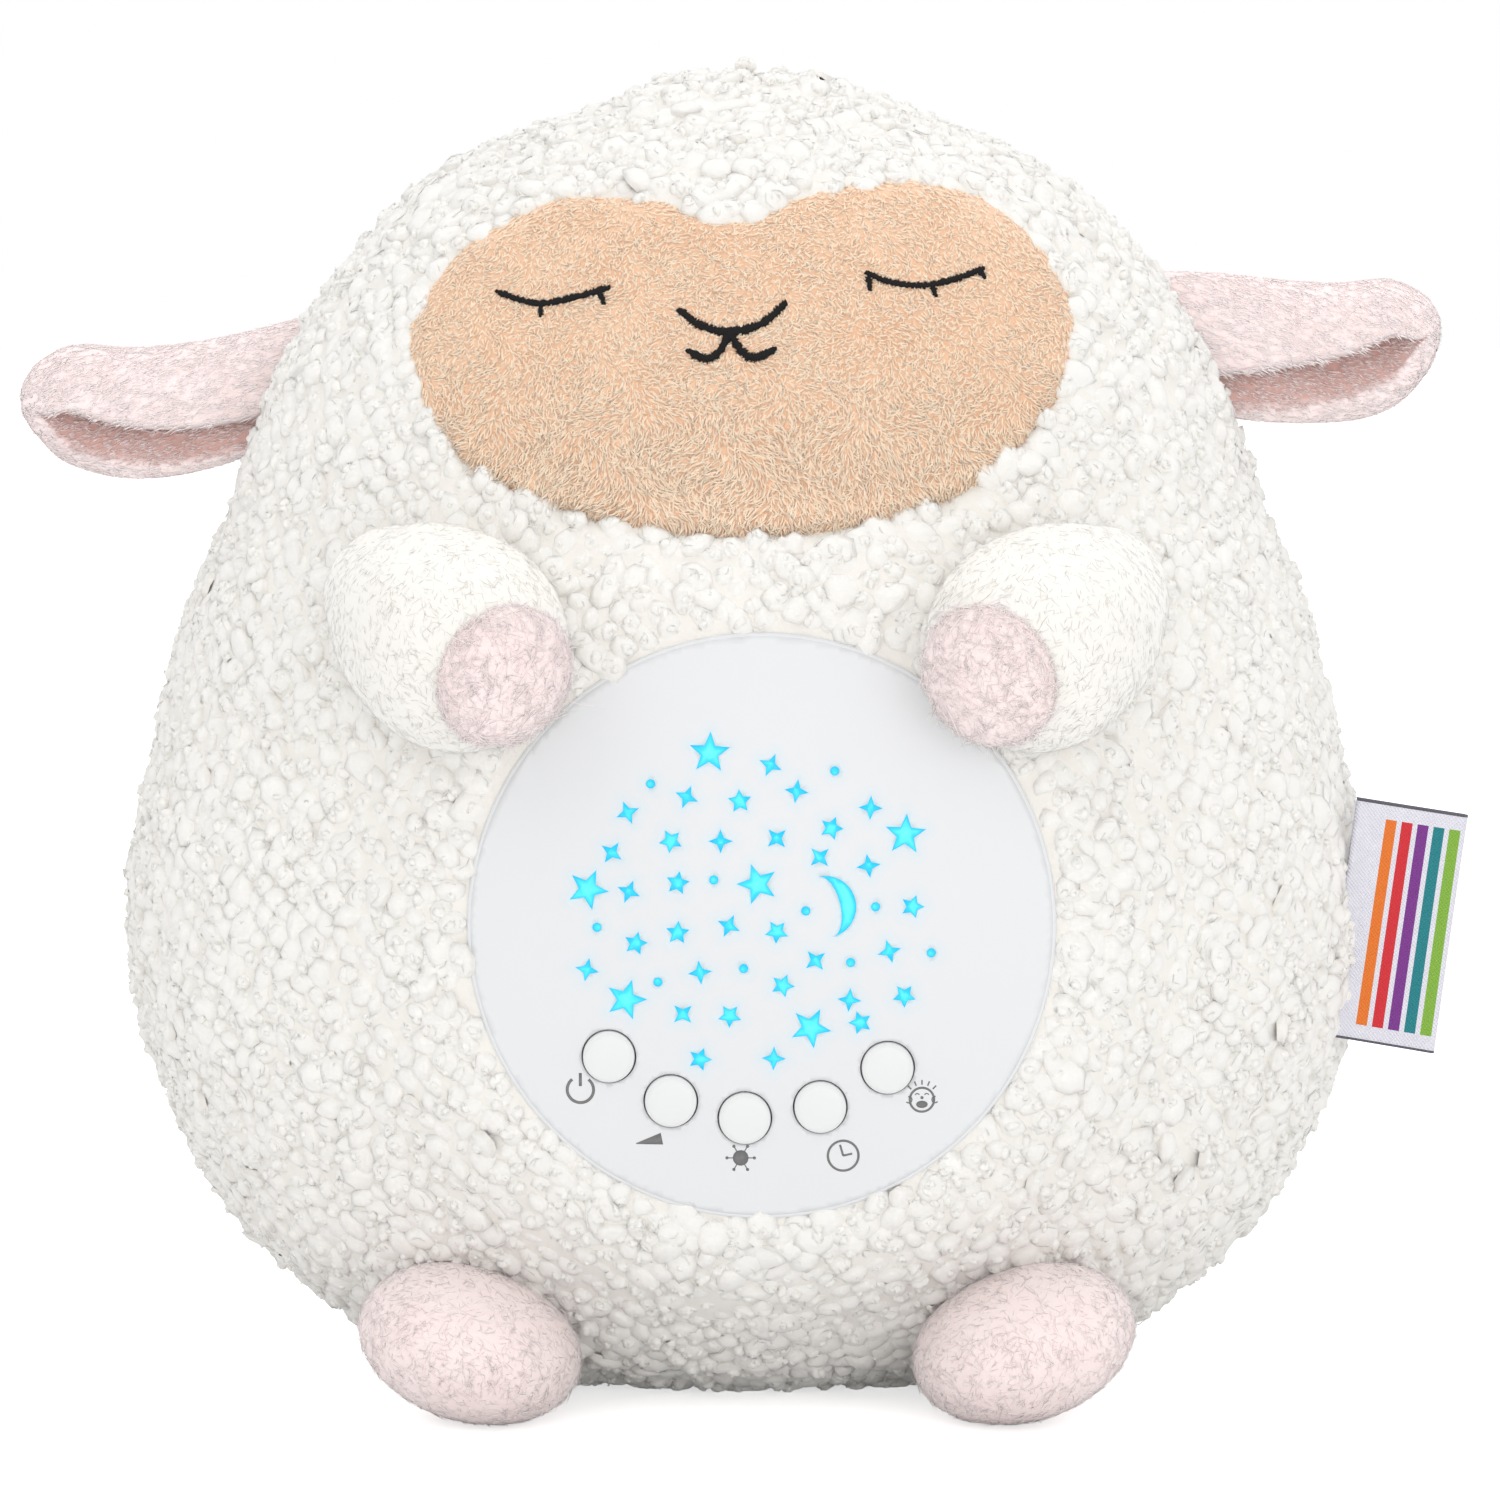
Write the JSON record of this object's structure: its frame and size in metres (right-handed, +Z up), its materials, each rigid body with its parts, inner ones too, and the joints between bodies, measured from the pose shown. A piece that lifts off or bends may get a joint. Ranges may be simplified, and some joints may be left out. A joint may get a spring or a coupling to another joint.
{
  "type": "plush night light",
  "caption": "Sleeping lamb plush that stands on its base, with a domed star-light panel and push buttons in its belly and a battery case under a back flap.",
  "frame": {"origin": "centre of the flat base that the lamb stands on", "axes": "+Z up, the lamb faces -Y, +X to the lamb's own left"},
  "size_m": [0.2916, 0.2007, 0.26],
  "materials": {
    "fleece": "matte",
    "stuffing": "matte",
    "tan_plush": "matte",
    "pink_plush": "matte",
    "cream_plush": "matte",
    "black_thread": "satin",
    "woven_label": "satin",
    "tape": "matte",
    "white_plastic": "gloss",
    "cyan_window": "gloss",
    "silicone": "matte",
    "circuit_board": "satin",
    "black_plastic": "matte",
    "led_lens": "gloss",
    "steel": "satin",
    "paper": "matte",
    "cell_wrap": "satin",
    "red_cable": "satin"
  },
  "bodies": {
    "body": {"fleece_cover": "fleece", "stuffing": "stuffing", "face_patch": "tan_plush", "eye_left": "black_thread", "eye_right": "black_thread", "mouth": "black_thread", "foot_left": "pink_plush", "foot_right": "pink_plush", "side_tag": "woven_label", "loop_tape": "tape", "front_panel": "white_plastic", "star_windows": "cyan_window", "keypad": "silicone", "reflector": "white_plastic", "main_board": "circuit_board", "led_1": "led_lens", "led_2": "led_lens", "led_3": "led_lens", "led_4": "led_lens", "microphone": "steel", "control_chip": "black_plastic", "lead_plug": "white_plastic", "clamp_ring": "white_plastic", "rear_housing": "white_plastic", "housing_screw_1": "steel", "housing_screw_2": "steel", "housing_screw_3": "steel", "housing_screw_4": "steel", "speaker_frame": "steel", "speaker_cone": "paper", "speaker_magnet": "steel", "speaker_lead": "red_cable", "battery_case": "white_plastic", "battery_door": "white_plastic", "door_screw": "steel", "battery_1": "cell_wrap", "battery_2": "cell_wrap", "battery_3": "cell_wrap", "contact_strip_left": "steel", "contact_strip_right": "steel", "battery_lead": "red_cable"},
    "left_ear": {"ear_left": "pink_plush"},
    "right_ear": {"ear_right": "pink_plush"},
    "left_arm": {"arm_left": "cream_plush", "paw_left": "pink_plush"},
    "right_arm": {"arm_right": "cream_plush", "paw_right": "pink_plush"},
    "flap": {"back_flap": "fleece", "hook_tape": "tape"},
    "power_button": {"button_power": "white_plastic"},
    "volume_button": {"button_volume": "white_plastic"},
    "light_button": {"button_light": "white_plastic"},
    "timer_button": {"button_timer": "white_plastic"},
    "sound_button": {"button_sound": "white_plastic"}
  },
  "joints": [
    {"name": "left_ear_fold", "type": "hinge", "parent": "body", "child": "left_ear", "pos_m": [0.09056, 0.003, 0.20719], "axis": [-0.5045, 0, 0.8634], "range_deg": [-30, 30], "stiffness_Nm_per_rad": 0.05},
    {"name": "right_ear_fold", "type": "hinge", "parent": "body", "child": "right_ear", "pos_m": [-0.09434, 0.003, 0.19971], "axis": [0.3948, 0, 0.9188], "range_deg": [-30, 30], "stiffness_Nm_per_rad": 0.05},
    {"name": "left_arm_lift", "type": "hinge", "parent": "body", "child": "left_arm", "pos_m": [0.0805, -0.05479, 0.158], "axis": [0, 0.3646, 0.9312], "range_deg": [0, 45], "stiffness_Nm_per_rad": 0.05},
    {"name": "right_arm_lift", "type": "hinge", "parent": "body", "child": "right_arm", "pos_m": [-0.0805, -0.05479, 0.158], "axis": [0, -0.3646, -0.9312], "range_deg": [0, 45], "stiffness_Nm_per_rad": 0.05},
    {"name": "flap_hinge", "type": "hinge", "parent": "body", "child": "flap", "pos_m": [0, 0.08513, 0.13], "axis": [1, 0, 0], "range_deg": [0, 110]},
    {"name": "power_button_press", "type": "slide", "parent": "body", "child": "power_button", "axis": [0, 1, 0], "range_m": [0, 0.0008], "stiffness_N_per_m": 800},
    {"name": "volume_button_press", "type": "slide", "parent": "body", "child": "volume_button", "axis": [0, 1, 0], "range_m": [0, 0.0008], "stiffness_N_per_m": 800},
    {"name": "light_button_press", "type": "slide", "parent": "body", "child": "light_button", "axis": [0, 1, 0], "range_m": [0, 0.0008], "stiffness_N_per_m": 800},
    {"name": "timer_button_press", "type": "slide", "parent": "body", "child": "timer_button", "axis": [0, 1, 0], "range_m": [0, 0.0008], "stiffness_N_per_m": 800},
    {"name": "sound_button_press", "type": "slide", "parent": "body", "child": "sound_button", "axis": [0, 1, 0], "range_m": [0, 0.0008], "stiffness_N_per_m": 800}
  ]
}
